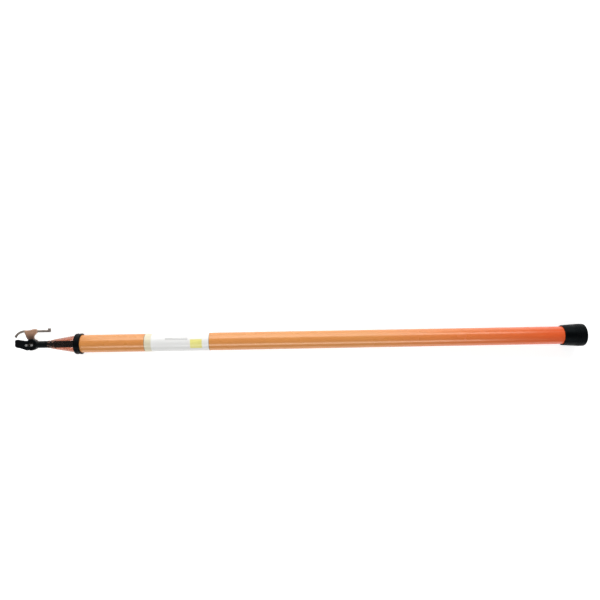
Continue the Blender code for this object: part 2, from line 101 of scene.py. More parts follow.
def middle_station(node):
    start, end = stations(node)
    return (start + end) / 2


def outer_radius(node):
    """Radius of a turned node that lies along the stick, taken to the middle of a facet."""
    low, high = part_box(node)
    return (high.z - low.z) / 2


def eye_centre():
    """Where the clamp bolt's axis crosses the stick's."""
    low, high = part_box("washer")
    return Vector(((low.x + high.x) / 2, 0, 0))


# Colours, in linear light. A pair holds the two that a finish's clouds run between.

ORANGE_HEAD = (0.77, 0.31, 0.080)
ORANGE_BUTT = (0.86, 0.102, 0.018)
ORANGE_FADE = (-0.62, -0.05)  # x at which the head's colour ends and the butt's is full
ORANGE_SHADE = (0.84, 0.66, 0.55)  # multiplies the orange in its deeper streaks
ORANGE_PALE = (0.98, 0.62, 0.30)
ORANGE_SHEEN = (1.0, 0.90, 0.74)
BLACK_SHEEN = (0.72, 0.92, 1.0)
AMBER = ((0.70, 0.42, 0.33), (0.60, 0.34, 0.26))
RUBBER = ((0.0012, 0.0015, 0.0018), (0.0045, 0.0048, 0.0052))
RUBBER_SCUFF = (0.045, 0.042, 0.040)
COATING = ((0.0018, 0.0020, 0.0022), (0.0055, 0.0058, 0.0062))
COATING_WORN = (0.16, 0.13, 0.10)
BRONZE_WARM = ((0.47, 0.265, 0.165), (0.62, 0.37, 0.25))
BRONZE_GREY = ((0.19, 0.16, 0.14), (0.27, 0.23, 0.20))
# dark brown painted as shade on the hook's neck near the clamp
BRONZE_PAINTED_SHADE = (0.10, 0.062, 0.052)
BRONZE_WORN = (0.66, 0.52, 0.42)
STEEL = ((0.50, 0.50, 0.50), (0.74, 0.74, 0.74))
# dark steel beside the wing nut's painted highlight strip
STEEL_DARK = (0.03, 0.028, 0.026)
STEEL_WORN = (0.88, 0.88, 0.88)
BRASS = ((0.58, 0.42, 0.16), (0.78, 0.60, 0.28))
BLACK_PLASTIC = ((0.008, 0.008, 0.009), (0.020, 0.019, 0.019))
NYLON = ((0.76, 0.74, 0.68), (0.86, 0.85, 0.80))
FOAM = ((0.62, 0.52, 0.28), (0.86, 0.78, 0.52))
PAPER = ((0.90, 0.90, 0.885), (0.86, 0.86, 0.845))
LABEL_TAN = (0.74, 0.66, 0.40)
LABEL_YELLOW = (0.90, 0.84, 0.27)
LABEL_INK = (0.30, 0.29, 0.29)
LABEL_BROWN = (0.20, 0.14, 0.06)


# Materials

# Sockets of a Mix node that mixes colours
MIX_FACTOR = 0
MIX_FIRST = 6
MIX_SECOND = 7
MIX_RESULT = 2

TARNISH = (95.0, 6.0)  # scale and detail of a metal's clouds
TARNISH_SPAN = (0.35, 0.68)
WORN_EDGE = (0.53, 0.64)  # pointiness at which wear starts and is full

BRONZE_NECK = (-24.0 * MM, 11.0 * MM)  # along the stick from the clamp bolt
BRONZE_SHADE_REACH = (15.0 * MM, 33.0 * MM)  # painted shade near the clamp fades out this far from the bolt
STEEL_ROUGH = (0.28, 0.44)
WING_HIGHLIGHT_HALF = 2.4 * MM  # half width of the painted highlight strip over the wing nut

LABEL_BAND = 20.0 * MM  # tan, at the end nearer the head
LABEL_PATCH = (19.7 * MM, 52.7 * MM)  # from the label's end nearer the butt
LABEL_PATCH_SPREAD = (-16.0 * MM, 9.0 * MM)
LABEL_RULES = (59.7 * MM, 122.7 * MM)
LABEL_RULE_PLACES = (9.0 * MM, 12.2 * MM)
LABEL_RULE_HALF = 0.5 * MM
LABEL_EDGE = 1.2 * MM


class Tree:
    """A Principled material under construction."""

    def __init__(self, name, **sockets):
        self.material = bpy.data.materials.new(name)
        self.material.use_nodes = True
        self.nodes = self.material.node_tree.nodes
        self.links = self.material.node_tree.links
        self.shader = self.nodes["Principled BSDF"]
        self.coords = self.add("ShaderNodeTexCoord").outputs["Object"]
        for socket, value in sockets.items():
            self.set(socket.replace("_", " "), value)

    def set(self, socket, value):
        self.feed(self.shader.inputs[socket], value)

    def feed(self, socket, value):
        """Links a socket to value where that is another node's output, or else sets it."""
        if isinstance(value, bpy.types.NodeSocket):
            self.links.new(value, socket)
        elif hasattr(socket.default_value, "__len__") and len(value) == 3 and len(socket.default_value) == 4:
            socket.default_value = (*value, 1.0)
        else:
            socket.default_value = value

    def add(self, kind, inputs=None, **settings):
        node = self.nodes.new(kind)
        for name, value in settings.items():
            setattr(node, name, value)
        for key, value in (inputs or {}).items():
            self.feed(node.inputs[key], value)
        return node

    def scaled(self, scale):
        """Object coordinates, stretched by a factor on each axis."""
        return self.add("ShaderNodeMapping", {"Vector": self.coords, "Scale": scale}).outputs["Vector"]

    def noise(self, scale, detail=4.0, stretch=None):
        where = self.coords if stretch is None else self.scaled(stretch)
        inputs = {"Vector": where, "Scale": scale, "Detail": detail, "Roughness": 0.55}
        return self.add("ShaderNodeTexNoise", inputs).outputs["Fac"]

    def span(self, value, low, high, to_low=0.0, to_high=1.0):
        """Maps low..high of a value onto to_low..to_high, clamped."""
        inputs = {"Value": value, "From Min": low, "From Max": high, "To Min": to_low, "To Max": to_high}
        return self.add("ShaderNodeMapRange", inputs).outputs["Result"]

    def mix(self, factor, first, second, blend="MIX"):
        inputs = {MIX_FACTOR: factor, MIX_FIRST: first, MIX_SECOND: second}
        node = self.add("ShaderNodeMix", inputs, data_type="RGBA", blend_type=blend)
        return node.outputs[MIX_RESULT]

    def times(self, first, second):
        node = self.add("ShaderNodeMath", {0: first, 1: second}, operation="MULTIPLY")
        return node.outputs["Value"]

    def axis(self, name):
        return self.add("ShaderNodeSeparateXYZ", {"Vector": self.coords}).outputs[name]

    def band(self, value, low, high, soft):
        """1 between low and high, fading to 0 over soft on each side."""
        rise = self.span(value, low - soft, low + soft)
        fall = self.span(value, high - soft, high + soft, 1.0, 0.0)
        return self.times(rise, fall)

    def edges(self, low=0.52, high=0.62):
        """1 along convex edges."""
        return self.span(self.add("ShaderNodeNewGeometry").outputs["Pointiness"], low, high)

    def bump(self, *layers):
        """Stacks bump layers, each a (height, distance) pair."""
        normal = None
        for height, distance in layers:
            node = self.add("ShaderNodeBump", {"Height": height, "Distance": distance, "Strength": 1.0})
            if normal is not None:
                self.feed(node.inputs["Normal"], normal)
            normal = node.outputs["Normal"]
        self.set("Normal", normal)


def fibreglass():
    """Orange resin over lengthwise glass, deeper in colour near the butt, under a thin gloss coat."""
    tree = Tree("orange_fibreglass", Coat_Weight=0.08, Coat_Roughness=0.10, IOR=1.5)
    tree.set("Specular Tint", ORANGE_SHEEN)
    tree.set("Specular IOR Level", 0.85)
    base = tree.mix(tree.span(tree.axis("X"), *ORANGE_FADE), ORANGE_HEAD, ORANGE_BUTT)
    strands = tree.noise(1.0, 3.0, (7.0, 620.0, 620.0))
    clouds = tree.noise(11.0, 3.0, (0.35, 1.0, 1.0))
    fine = tree.noise(1.0, 2.0, (30.0, 2200.0, 2200.0))
    deep = tree.mix(1.0, base, ORANGE_SHADE, "MULTIPLY")
    pale = tree.mix(0.3, base, ORANGE_PALE)
    colour = tree.mix(tree.span(strands, 0.35, 0.75, 0.0, 0.3), base, deep)
    colour = tree.mix(tree.span(fine, 0.5, 0.8, 0.0, 0.4), colour, pale)
    colour = tree.mix(tree.span(clouds, 0.35, 0.7, 0.0, 0.3), colour, deep)
    tree.set("Base Color", colour)
    tree.set("Roughness", tree.span(clouds, 0.3, 0.7, 0.24, 0.30))
    tree.bump((strands, 0.00002), (fine, 0.00001))
    return tree.material


def amber():
    """Thin see-through moulding with faint flow marks."""
    tree = Tree("amber_plastic", Transmission_Weight=1.0, IOR=1.46)
    tree.set("Specular IOR Level", 0.3)
    flow = tree.noise(1.0, 3.0, (14.0, 90.0, 90.0))
    tree.set("Base Color", tree.mix(flow, *AMBER))
    tree.set("Roughness", tree.span(tree.noise(60.0), 0.3, 0.7, 0.03, 0.09))
    tree.bump((flow, 0.00002))
    return tree.material


def rubber():
    """Moulded rubber with a fine grain, scuffed pale along its edges."""
    tree = Tree("black_rubber")
    tree.set("Specular IOR Level", 0.08)
    tree.set("Specular Tint", BLACK_SHEEN)
    grain = tree.noise(2600.0, 2.0)
    dust = tree.noise(60.0, 6.0)
    colour = tree.mix(tree.span(dust, 0.45, 0.75), *RUBBER)
    colour = tree.mix(tree.times(tree.edges(), 0.25), colour, RUBBER_SCUFF)
    tree.set("Base Color", colour)
    tree.set("Roughness", tree.span(dust, 0.35, 0.7, 0.36, 0.50))
    tree.bump((grain, 0.00004), (dust, 0.00008))
    return tree.material


def plastic(name, colours, rough):
    """Moulded plastic with a light spark-eroded grain."""
    tree = Tree(name)
    clouds = tree.noise(45.0, 5.0)
    tree.set("Base Color", tree.mix(clouds, *colours))
    tree.set("Roughness", tree.span(clouds, 0.3, 0.7, *rough))
    tree.bump((tree.noise(1800.0, 2.0), 0.00003))
    return tree.material


def coated_metal():
    """Black coating over a casting, rubbed through to grey metal on its edges."""
    tree = Tree("black_metal", IOR=1.5)
    tree.set("Specular IOR Level", 0.12)
    tree.set("Specular Tint", BLACK_SHEEN)
    cast = tree.noise(900.0, 4.0)
    wear = tree.times(tree.edges(0.53, 0.66), tree.span(tree.noise(240.0), 0.4, 0.6))
    colour = tree.mix(tree.noise(70.0), *COATING)
    tree.set("Base Color", tree.mix(wear, colour, COATING_WORN))
    tree.set("Metallic", tree.times(wear, 0.9))
    tree.set("Roughness", tree.span(cast, 0.3, 0.7, 0.30, 0.46))
    tree.bump((cast, 0.00008))
    return tree.material


def metal(name, colours, rough, worn=None, highlight_half=None):
    """Bare or plated metal with tarnish in clouds, and brighter edges where worn is given.

    Where the strip's half width is given, a strip that wide either side of the stick's line keeps the
    metal's colour as a painted highlight, with dark steel beside it.
    """
    tree = Tree(name, Metallic=1.0)
    clouds = tree.noise(*TARNISH)
    colour = tree.mix(tree.span(clouds, *TARNISH_SPAN), *colours)
    if worn is not None:
        colour = tree.mix(tree.times(tree.edges(*WORN_EDGE), 0.7), colour, worn)
    # Painted highlight: only a strip along the stick over the wings' tops keeps the metal's colour, and the
    # rest goes dark.
    if highlight_half is not None:
        colour = tree.mix(tree.band(tree.axis("Y"), -highlight_half, highlight_half, 0.6 * MM), STEEL_DARK, colour)
    tree.set("Base Color", colour)
    tree.set("Roughness", tree.span(clouds, 0.3, 0.7, rough[1], rough[0]))
    tree.bump((tree.noise(1200.0, 3.0), 0.00006))
    return tree.material


def cast_bronze():
    """Dull cast bronze: warm on the broad neck with painted shade towards the clamp, darker and greyer on
    the hook and the prong either side of it.
    """
    tree = Tree("bronze", Metallic=0.45)
    clouds = tree.span(tree.noise(*TARNISH), *TARNISH_SPAN)
    warm = tree.mix(clouds, *BRONZE_WARM)
    grey = tree.mix(clouds, *BRONZE_GREY)
    eye = eye_centre().x
    neck = tree.band(tree.axis("X"), eye + BRONZE_NECK[0], eye + BRONZE_NECK[1], 3.0 * MM)
    # Painted shade: the neck darkens towards the clamp bolt, where shade falls.
    clamp_shade = tree.span(tree.axis("Y"), *BRONZE_SHADE_REACH, 0.9, 0.0)
    colour = tree.mix(neck, grey, tree.mix(clamp_shade, warm, BRONZE_PAINTED_SHADE))
    colour = tree.mix(tree.times(tree.edges(*WORN_EDGE), 0.5), colour, BRONZE_WORN)
    tree.set("Base Color", colour)
    tree.set("Roughness", tree.span(clouds, 0.0, 1.0, 0.58, 0.42))
    tree.bump((tree.noise(700.0, 3.0), 0.0001))
    return tree.material


def foam():
    tree = Tree("foam", Roughness=0.92)
    cells = tree.add("ShaderNodeTexVoronoi", {"Vector": tree.coords, "Scale": 900.0}).outputs["Distance"]
    tree.set("Base Color", tree.mix(cells, *FOAM))
    tree.bump((cells, 0.0004))
    return tree.material


def label_film():
    """White film with a tan band, a pale yellow patch, two rules and dark edges."""
    start, end = stations("label_wrap")
    tree = Tree("white_film", Coat_Weight=0.2, Coat_Roughness=0.2, Roughness=0.38)
    across, along = tree.axis("Y"), tree.axis("X")
    paper = tree.mix(tree.noise(30.0), *PAPER)
    foot = tree.band(along, -end, -end + LABEL_BAND, 1.5 * MM)
    paper = tree.mix(tree.times(foot, 0.7), paper, LABEL_TAN)
    patch = tree.band(along, -start - LABEL_PATCH[1], -start - LABEL_PATCH[0], 1.0 * MM)
    patch = tree.times(patch, tree.band(across, *LABEL_PATCH_SPREAD, 1.0 * MM))
    patch = tree.times(patch, tree.span(tree.axis("Z"), 0.0, 2.0 * MM))
    colour = tree.mix(patch, paper, LABEL_YELLOW)
    rules = tree.band(along, -start - LABEL_RULES[1], -start - LABEL_RULES[0], 0.5 * MM)
    for place in LABEL_RULE_PLACES:
        line = tree.band(across, place - LABEL_RULE_HALF, place + LABEL_RULE_HALF, 0.15 * MM)
        colour = tree.mix(tree.times(rules, line), colour, LABEL_INK)
    for edge in (start, end):
        line = tree.band(along, -edge - LABEL_EDGE, -edge + LABEL_EDGE, 0.2 * MM)
        colour = tree.mix(line, colour, LABEL_BROWN)
    tree.set("Base Color", colour)
    tree.bump((tree.noise(220.0, 3.0), 0.00002))
    return tree.material


MATERIALS = {
    "orange_fibreglass": fibreglass(),
    "amber_plastic": amber(),
    "black_rubber": rubber(),
    "black_plastic": plastic("black_plastic", BLACK_PLASTIC, (0.34, 0.48)),
    "black_metal": coated_metal(),
    "bronze": cast_bronze(),
    "steel": metal("steel", STEEL, STEEL_ROUGH, worn=STEEL_WORN),
    "wing_steel": metal("wing_steel", STEEL, STEEL_ROUGH, worn=STEEL_WORN, highlight_half=WING_HIGHLIGHT_HALF),
    "brass": metal("brass", BRASS, (0.22, 0.38)),
    "nylon": plastic("nylon", NYLON, (0.40, 0.55)),
    "foam": foam(),
    "white_film": label_film(),
}


# Meshes

STICK_TURN = Matrix.Rotation(-math.pi / 2, 4, "Y")  # local Z onto the stick's -X
AXIS_TURNS = {"Z": Matrix.Identity(4), "Y": Matrix.Rotation(-math.pi / 2, 4, "X")}
ON_AXIS = 1e-7  # a smaller radius is one point
CORNER_SHARE = 0.49  # of a side, the most that the rounding at one of its ends may take


def add_object(name, data):
    """A new object in the scene."""
    obj = bpy.data.objects.new(name, data)
    bpy.context.scene.collection.objects.link(obj)
    return obj


def paint(mesh, material):
    """Gives a mesh one finish."""
    mesh.materials.clear()
    mesh.materials.append(MATERIALS[material])


def finish_mesh(name, bm, material, smooth=True):
    """A new object in its finish, smooth with its sharp edges kept sharp, or flat."""
    mesh = bpy.data.meshes.new(name)
    bmesh.ops.recalc_face_normals(bm, faces=bm.faces)
    bm.to_mesh(mesh)
    bm.free()
    if smooth:
        mesh.shade_smooth()
        mesh.set_sharp_from_angle(angle=SHARP)
    paint(mesh, material)
    return add_object(name, mesh)


def merge(bm, extra):
    """Adds a second bmesh to the first, and frees it."""
    mesh = bpy.data.meshes.new("extra")
    extra.to_mesh(mesh)
    extra.free()
    bm.from_mesh(mesh)


def apply_modifiers(obj, material):
    """Makes what a piece's modifiers give its own mesh, smooth all over."""
    bpy.context.view_layer.update()
    graph = bpy.context.evaluated_depsgraph_get()
    mesh = bpy.data.meshes.new_from_object(obj.evaluated_get(graph))
    obj.modifiers.clear()
    obj.data = mesh
    mesh.shade_smooth()
    paint(mesh, material)
    return mesh


def stand_in(obj, node):
    """obj takes the place of a CAD node: on its body, hiding it."""
    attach(obj, frame["nodes"][node]["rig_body"])
    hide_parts(node)
    return obj


def rounded(points, closed=False, steps=5):
    """A profile with its corners rounded: each point is (station, radius) or (station, radius, size)."""
    result = []
    count = len(points)
    for i, point in enumerate(points):
        here = Vector(point[:2])
        ends = not closed and i in (0, count - 1)
        if len(point) == 2 or ends:
            result.append(here)
            continue
        before = Vector(points[i - 1][:2]) - here
        after = Vector(points[(i + 1) % count][:2]) - here
        reach = point[2] / math.tan(before.angle(after) / 2)
        start = here + before.normalized() * min(reach, before.length * CORNER_SHARE)
        stop = here + after.normalized() * min(reach, after.length * CORNER_SHARE)
        for k in range(steps + 1):
            t = k / steps
            result.append(start * (1 - t) ** 2 + here * 2 * t * (1 - t) + stop * t**2)
    return [(p.x, p.y) for p in result]


def groove(middle, radius, depth, mouth, floor, corner, lip=()):
    """Profile points of a groove, from its last station to its first. mouth and floor are half widths."""
    deep = radius - depth
    far = [(middle + mouth, radius, *lip), (middle + floor, deep, corner)]
    near = [(middle - floor, deep, corner), (middle - mouth, radius, *lip)]
    return far + near


def turned_bmesh(profile, closed, sides, matrix):
    """Turns a (height, radius) profile round a local Z axis."""
    bm = bmesh.new()
    angles = [2 * math.pi * (i + 0.5) / sides for i in range(sides)]
    rings = []
    for height, radius in profile:
        places = [(radius * math.cos(a), radius * math.sin(a), height) for a in angles]
        if radius < ON_AXIS:
            places = [(0, 0, height)]
        rings.append([bm.verts.new(place) for place in places])
    pairs = list(zip(rings, rings[1:]))
    if closed:
        pairs.append((rings[-1], rings[0]))
    for lower, upper in pairs:
        for i in range(sides):
            j = (i + 1) % sides
            corners = [ring[k % len(ring)] for ring, k in ((lower, i), (lower, j), (upper, j), (upper, i))]
            face = list(dict.fromkeys(corners))
            if len(face) > 2:
                bm.faces.new(face)
    bmesh.ops.transform(bm, matrix=matrix, verts=bm.verts)
    return bm


def turned(node, profile, material, closed=True, sides=SIDES, matrix=STICK_TURN, cutters=()):
    """A finely turned piece that takes the place of a CAD node."""
    bm = turned_bmesh(profile, closed, sides, matrix)
    obj = finish_mesh(f"{node}_fine", bm, material)
    if cutters:
        carve(obj, cutters, material)
    return stand_in(obj, node)


def carve(obj, cutters, material):
    """Cuts drilled holes out of a piece and keeps the result as its mesh."""
    for cutter in cutters:
        modifier = obj.modifiers.new("hole", "BOOLEAN")
        modifier.operation = "DIFFERENCE"
        modifier.solver = "EXACT"
        modifier.object = cutter
    apply_modifiers(obj, material).set_sharp_from_angle(angle=SHARP)
    for cutter in cutters:
        bpy.data.objects.remove(cutter, do_unlink=True)


def drill(centre, radius, start, end, axis="Z"):
    """A round cutter between two heights along an axis through centre."""
    profile = [(start, 0), (start, radius), (end, radius), (end, 0)]
    bm = turned_bmesh(profile, False, DRILL_SIDES, Matrix.Translation(centre) @ AXIS_TURNS[axis])
    bmesh.ops.recalc_face_normals(bm, faces=bm.faces)
    mesh = bpy.data.meshes.new("drill")
    bm.to_mesh(mesh)
    bm.free()
    return add_object("drill", mesh)


# Pole sections

SEAT = 0.2 * MM  # gap left round a piece that another one is pushed over
TUBE_WALL = 2.0 * MM
MOUTH_EDGE = 0.5 * MM
HOLE_RADIUS = 4.8 * MM
HOLE_SETBACK = 100.0 * MM
HOLE_MARGIN = 14.0 * MM  # length of the tube's rings of faces that holes are cut in
PIN_RADIUS = 2.0 * MM
PIN_CLEARANCE = 0.1 * MM


def make_tube(name):
    """A drawn tube with softened mouths and its drilled holes."""
    node = f"{name}_tube"
    start, end = stations(node)
    outer = outer_radius(node)
    inner = outer - TUBE_WALL
    places = [end - HOLE_SETBACK]
    if name == "tip":
        places = [middle_station("ferrule_pin_1"), middle_station("ferrule_pin_2")]
    cuts = sorted(s + side * HOLE_MARGIN / 2 for s in places for side in (-1, 1))
    profile = [(end, outer, MOUTH_EDGE)] + [(s, outer) for s in reversed(cuts)]
    profile += [(start, outer, MOUTH_EDGE), (start, inner, MOUTH_EDGE)]
    profile += [(s, inner) for s in cuts] + [(end, inner, MOUTH_EDGE)]
    if name == "tip":
        holes = [drill((-s, 0, 0), PIN_RADIUS + PIN_CLEARANCE, -2 * outer, 2 * outer) for s in places]
    else:
        holes = [drill((-places[0], 0, 0), HOLE_RADIUS, -2 * outer, -inner / 2)]
    turned(node, rounded(profile, True), "orange_fibreglass", cutters=holes)


WIPER_GAP = 0.25 * MM
WIPER_EDGE = 0.35  # of the ring's thickness


def make_end_ring(name):
    """A wiper ring with a softened lip, seated in the mouth of its section."""
    node = f"{name}_end_ring"
    start, end = stations(node)
    outer = outer_radius(node)
    inner = outer_radius(f"{SECTIONS[SECTIONS.index(name) + 1]}_tube") + WIPER_GAP
    edge = (outer - inner) * WIPER_EDGE
    profile = [(end, outer, edge), (start, outer, edge), (start, inner, edge), (end, inner, edge)]
    turned(node, rounded(profile, True), "black_plastic")


PLUG_SPIGOT = 18.0 * MM
PLUG_GAP = 0.3 * MM  # round the spigot
PLUG_EDGE = 0.8 * MM
PLUG_STEP_EDGE = 0.3 * MM
GLIDE_SETBACK = 3.5 * MM  # of a groove's middle from either end of the plug's head
GLIDE_GROOVE = {"depth": 0.7 * MM, "mouth": 1.0 * MM, "floor": 0.5 * MM, "corner": 0.2 * MM}
BUTTON_BORE = 4.8 * MM
BORE_FLOOR_GAP = 0.3 * MM  # behind the spring


def make_guide_plug(name):
    """A turned nylon plug with glide grooves round its head and a bore for the lock button."""
    node = f"{name}_guide_plug"
    start, end = stations(node)
    wide = outer_radius(node)
    slim = outer_radius(f"{name}_tube") - TUBE_WALL - PLUG_GAP
    step = end - PLUG_SPIGOT
    profile = [(end, 0), (end, slim, PLUG_EDGE), (step, slim), (step, wide, PLUG_STEP_EDGE)]
    for middle in (step - GLIDE_SETBACK, start + GLIDE_SETBACK):
        profile += groove(middle, wide, **GLIDE_GROOVE)
    profile += [(start, wide, PLUG_EDGE), (start, 0)]
    low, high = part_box(f"{name}_lock_button")
    spot = ((low.x + high.x) / 2, 0, 0)
    _, spring_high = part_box(f"{name}_button_spring")
    bore = drill(spot, BUTTON_BORE, -2 * wide, spring_high.z + BORE_FLOOR_GAP)
    turned(node, rounded(profile), "nylon", closed=False, cutters=[bore])


BUTTON_EDGE = 0.3 * MM
BUTTON_GROOVE = ((1.4, 0.0), (1.6, 0.25), (2.0, 0.25), (2.2, 0.0))  # mm from the foot, mm deep
BUTTON_DOME = 1.5 * MM
BUTTON_TAPER = 0.98


def make_lock_button(name):
    """A domed brass button, lathe-turned with a small foot groove."""
    node = f"{name}_lock_button"
    low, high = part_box(node)
    radius = (high.x - low.x) / 2
    place = Matrix.Translation(((low.x + high.x) / 2, 0, 0))
    profile = [(high.z, 0), (high.z, radius, BUTTON_EDGE)]
    profile += [(high.z - back * MM, radius - deep * MM) for back, deep in BUTTON_GROOVE]
    profile += [(low.z, radius * BUTTON_TAPER, BUTTON_DOME), (low.z, 0)]
    turned(node, rounded(profile), "brass", closed=False, sides=SMALL_SIDES, matrix=place)


def make_pole():
    for name in SECTIONS:
        make_tube(name)
    for name in SECTIONS[1:-1]:
        make_end_ring(name)
    for name in SECTIONS[1:]:
        make_guide_plug(name)
        make_lock_button(name)


# Butt cap, bumper, collar and label

CAP_FLOOR = 8.0 * MM
CAP_MOUTH = 28.4 * MM
CAP_STRAIGHT = 14.0 * MM
CAP_GROOVES = (17.0 * MM, 23.0 * MM, 29.0 * MM)
CAP_GROOVE_HALF = 1.2 * MM
CAP_GROOVE_DEPTH = 0.9 * MM
CAP_BEAD_LINE = ((4.0, 0.0), (4.6, 0.55), (5.6, 0.55), (6.2, 0.0))  # mm behind the mouth, mm deep
CAP_DIMPLE = 0.6 * MM
CAP_DIMPLE_EDGE = (0.62, 0.58)  # of the cap's radius, at its end face and at the dimple's floor


def make_cap():
    """A thick moulded cap: rounded end, grip grooves and a taper to its beaded mouth."""
    _, end = stations("butt_cap")
    wide = outer_radius("butt_cap")
    bore = outer_radius("base_tube") + SEAT

    def taper(station):
        return wide + (CAP_MOUTH - wide) * (station - CAP_STRAIGHT) / (end - CAP_STRAIGHT)

    profile = [(CAP_FLOOR, 0), (CAP_FLOOR, bore), (end, bore, 0.6 * MM), (end, CAP_MOUTH, 1.6 * MM)]
    for back, deep in CAP_BEAD_LINE:
        place = end - back * MM
        profile.append((place, taper(place) - deep * MM, 0.3 * MM))
    for middle in reversed(CAP_GROOVES):
        floor = taper(middle) - CAP_GROOVE_DEPTH
        for side in (1, 0.5, -0.5, -1):
            place = middle + side * CAP_GROOVE_HALF
            profile.append((place, taper(place) if abs(side) == 1 else floor, 0.4 * MM))
    rim, dimple = (wide * share for share in CAP_DIMPLE_EDGE)
    profile += [(CAP_STRAIGHT, wide, 1.0 * MM), (0, wide, 5.0 * MM), (0, rim)]
    profile += [(CAP_DIMPLE, dimple, 0.4 * MM), (CAP_DIMPLE, 0)]
    turned("butt_cap", rounded(profile), "black_rubber", closed=False)


BUMPER_RING = (0.3, 0.36, 0.7, 0.76)  # of the bumper's radius, across the ring sunk in its face
BUMPER_RING_DEPTH = 0.8 * MM
BUMPER_EDGE = 1.2 * MM


def make_bumper():
    """A rubber disc with a shallow ring sunk in the face that the nested sections stand on."""
    start, end = stations("butt_bumper")
    radius = outer_radius("butt_bumper")
    floor = end - BUMPER_RING_DEPTH
    heights = (end, floor, floor, end)
    profile = [(end, 0)] + [(height, radius * share) for height, share in zip(heights, BUMPER_RING)]
    profile += [(end, radius, BUMPER_EDGE), (start, radius, BUMPER_EDGE), (start, 0)]
    turned("butt_bumper", rounded(profile), "black_rubber", closed=False)


COLLAR_LIP = 5.4 * MM  # front bead's length, and the depth of the tube's end inside it
COLLAR_HEEL = 4.0 * MM  # rear bead's length
COLLAR_LEAD = 0.4 * MM  # front bead's taper
COLLAR_WAIST = 0.9 * MM
COLLAR_SLOPE = 1.0 * MM


def make_collar():
    """A rubber collar with a rolled front bead and a shallow waist."""
    start, end = stations("base_collar")
    wide = outer_radius("base_collar")
    waist = wide - COLLAR_WAIST
    front, heel = end - COLLAR_LIP, start + COLLAR_HEEL
    sleeve = outer_radius("base_tube") + SEAT
    mouth = outer_radius("section_2_tube") + SEAT
    profile = [(end, mouth, 0.5 * MM), (end, wide - COLLAR_LEAD, 3.0 * MM), (front, wide, 1.0 * MM)]
    profile += [(front - COLLAR_SLOPE, waist, 0.6 * MM), (heel + COLLAR_SLOPE, waist, 0.6 * MM)]
    profile += [(heel, wide, 1.0 * MM), (start, wide, 1.5 * MM), (start, sleeve, 0.4 * MM)]
    profile += [(front, sleeve), (front, mouth)]
    turned("base_collar", rounded(profile, True), "black_rubber")


FILM = 0.25 * MM
FILM_EDGE = 0.1 * MM


def make_label():
    """The film as one thin closed ring with softened edges."""
    start, end = stations("label_wrap")
    outer = outer_radius("label_wrap")
    inner = outer - FILM
    profile = [(end, outer, FILM_EDGE), (start, outer, FILM_EDGE), (start, inner), (end, inner)]
    turned("label_wrap", rounded(profile, True), "white_film")


# Ferrule, pins and nose cone

FERRULE_SPIGOT = 40.0 * MM
SPIGOT_RADIUS = 7.7 * MM
WELL_RADIUS = 6.2 * MM
WELL_DEPTH = 16.3 * MM
FERRULE_GROOVES = (20.0 * MM, 24.0 * MM, 28.0 * MM)  # behind the mouth
FERRULE_GROOVE = {
    "depth": 0.6 * MM,
    "mouth": 0.9 * MM,
    "floor": 0.5 * MM,
    "corner": 0.2 * MM,
    "lip": (0.2 * MM,),
}
HEAD_PIN_HOLE = 1.6 * MM
DRILL_REACH = 20.0 * MM  # well past the ferrule on both sides


def pin_hole(pin, radius, axis="Z"):
    """A cutter right through the ferrule along one of its pins."""
    return drill((-middle_station(pin), 0, 0), radius, -DRILL_REACH, DRILL_REACH, axis)


def make_ferrule():
    """A turned ferrule: a slim spigot, three grooves and a soft mouth with a well for the head's stud."""
    start, end = stations("head_ferrule")
    wide = outer_radius("head_ferrule")
    shoulder = start + FERRULE_SPIGOT
    floor = end - WELL_DEPTH
    profile = [(floor, 0), (floor, WELL_RADIUS), (end, WELL_RADIUS, 0.3 * MM), (end, wide, 0.8 * MM)]
    for back in FERRULE_GROOVES:
        profile += groove(end - back, wide, **FERRULE_GROOVE)
    profile += [(shoulder, wide, 0.6 * MM), (shoulder, SPIGOT_RADIUS)]
    profile += [(start, SPIGOT_RADIUS, 0.8 * MM), (start, 0)]
    holes = [pin_hole(f"ferrule_pin_{i}", PIN_RADIUS + PIN_CLEARANCE) for i in (1, 2)]
    holes.append(pin_hole("head_pin", HEAD_PIN_HOLE, "Y"))
    turned("head_ferrule", rounded(profile), "black_metal", closed=False, cutters=holes)


PIN_MARK = (0.35, 0.45, 0.6)  # of the pin's radius, across the punched ring in its end
PIN_MARK_DEPTH = 0.3 * MM
PIN_EDGE = 0.3 * MM


def make_pins():
    """Plain pins with a ring punched in one end."""
    for node, axis in (("ferrule_pin_1", "Z"), ("ferrule_pin_2", "Z"), ("head_pin", "Y")):
        low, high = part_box(node)
        middle, size = (low + high) / 2, high - low
        radius = size.x / 2
        half = (size.z if axis == "Z" else size.y) / 2
        heights = (half, half - PIN_MARK_DEPTH, half)
        profile = [(half, 0)] + [(height, radius * share) for height, share in zip(heights, PIN_MARK)]
        profile += [(half, radius, PIN_EDGE), (-half, radius, PIN_EDGE), (-half, 0)]
        place = Matrix.Translation(middle) @ AXIS_TURNS[axis]
        turned(node, rounded(profile), "steel", closed=False, sides=SMALL_SIDES, matrix=place)


CONE_SKIRT = 8.0 * MM
CONE_SLEEVE = 10.0 * MM
CONE_WALL = 1.2 * MM
CONE_NECK_WALL = 3.0 * MM
CONE_LAND = 8.0 * MM
CONE_RIM = (1.4 * MM, 0.2 * MM)  # length and depth of the rim's roll


